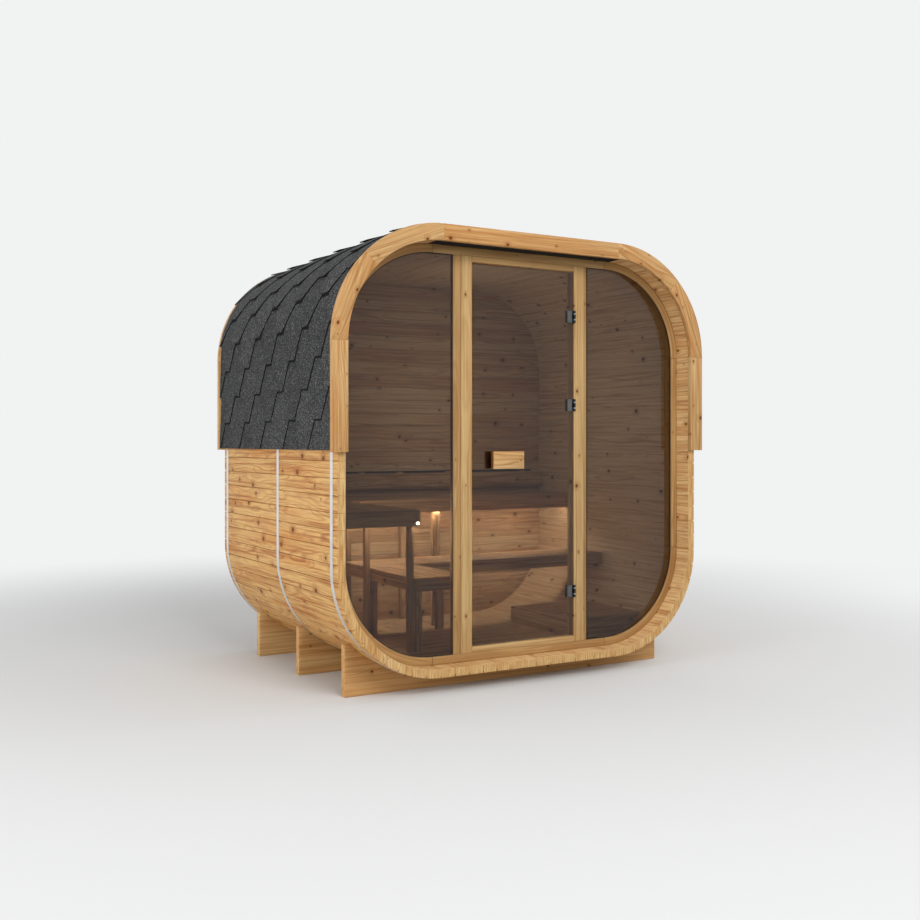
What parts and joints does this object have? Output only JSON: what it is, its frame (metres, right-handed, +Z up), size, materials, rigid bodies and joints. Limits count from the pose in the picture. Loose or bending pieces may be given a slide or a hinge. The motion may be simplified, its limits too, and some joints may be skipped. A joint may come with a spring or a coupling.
{
  "type": "cube sauna",
  "caption": "Garden sauna cabin of horizontal staves with rounded corners, held by steel hoops on plank cradles, with a shingled roof, a glazed front and a hinged glass door.",
  "frame": {"origin": "on the ground under the middle of the cabin", "axes": "+Z up, -Y towards the glazed front, +X to the right along the front as seen from outside"},
  "size_m": [2.202, 1.646, 2.247],
  "materials": {
    "spruce": "planed and oiled spruce staves and frames, with knots",
    "spruce_boards": "planed spruce boards, oiled",
    "bench_timber": "planed untreated softwood slats",
    "bitumen_shingle": "mineral-surfaced bitumen shingle",
    "hoop_steel": "stainless strip",
    "hinge_steel": "satin stainless steel",
    "tinted_glass": "bronze-tinted toughened glass",
    "led_diffuser": "opal diffuser over a warm LED tape"
  },
  "bodies": {
    "cabin": {"wall_left": "spruce", "wall_right": "spruce", "shell_bottom": "spruce", "shell_top": "spruce", "corner_bottom_left": "spruce", "corner_bottom_right": "spruce", "corner_top_left": "spruce", "corner_top_right": "spruce", "steel_hoops": "hoop_steel", "cradle_front": "spruce_boards", "cradle_middle": "spruce_boards", "cradle_back": "spruce_boards", "roofing_left": "bitumen_shingle", "roofing_top": "bitumen_shingle", "roofing_right": "bitumen_shingle", "front_fascia_left": "spruce_boards", "front_fascia_top": "spruce_boards", "front_fascia_right": "spruce_boards", "back_fascia_left": "spruce_boards", "back_fascia_top": "spruce_boards", "back_fascia_right": "spruce_boards", "front_frame_left": "spruce", "front_frame_right": "spruce", "front_frame_top": "spruce", "front_frame_bottom": "spruce", "window_posts": "spruce", "door_jamb_left": "spruce", "door_jamb_right": "spruce", "door_rails": "spruce", "window_left": "tinted_glass", "window_right": "tinted_glass", "back_wall": "spruce", "back_frame": "spruce", "floor_deck": "bench_timber", "platform": "bench_timber", "upper_bench_left": "bench_timber", "upper_bench_back": "bench_timber", "lower_bench_left": "bench_timber", "lower_bench_back": "bench_timber", "bench_legs": "bench_timber", "backrest": "bench_timber", "backrest_blocks": "bench_timber", "led_strips": "led_diffuser", "frame_hinge_leaves": "hinge_steel"},
    "door": {"door_glass": "tinted_glass", "door_hinge_leaves": "hinge_steel", "door_handles": "spruce"}
  },
  "joints": [
    {"name": "door_hinge", "type": "hinge", "parent": "cabin", "child": "door", "pos_m": [0.319, -0.713, 1.147], "axis": [0, 0, 1], "range_deg": [0, 105]}
  ]
}
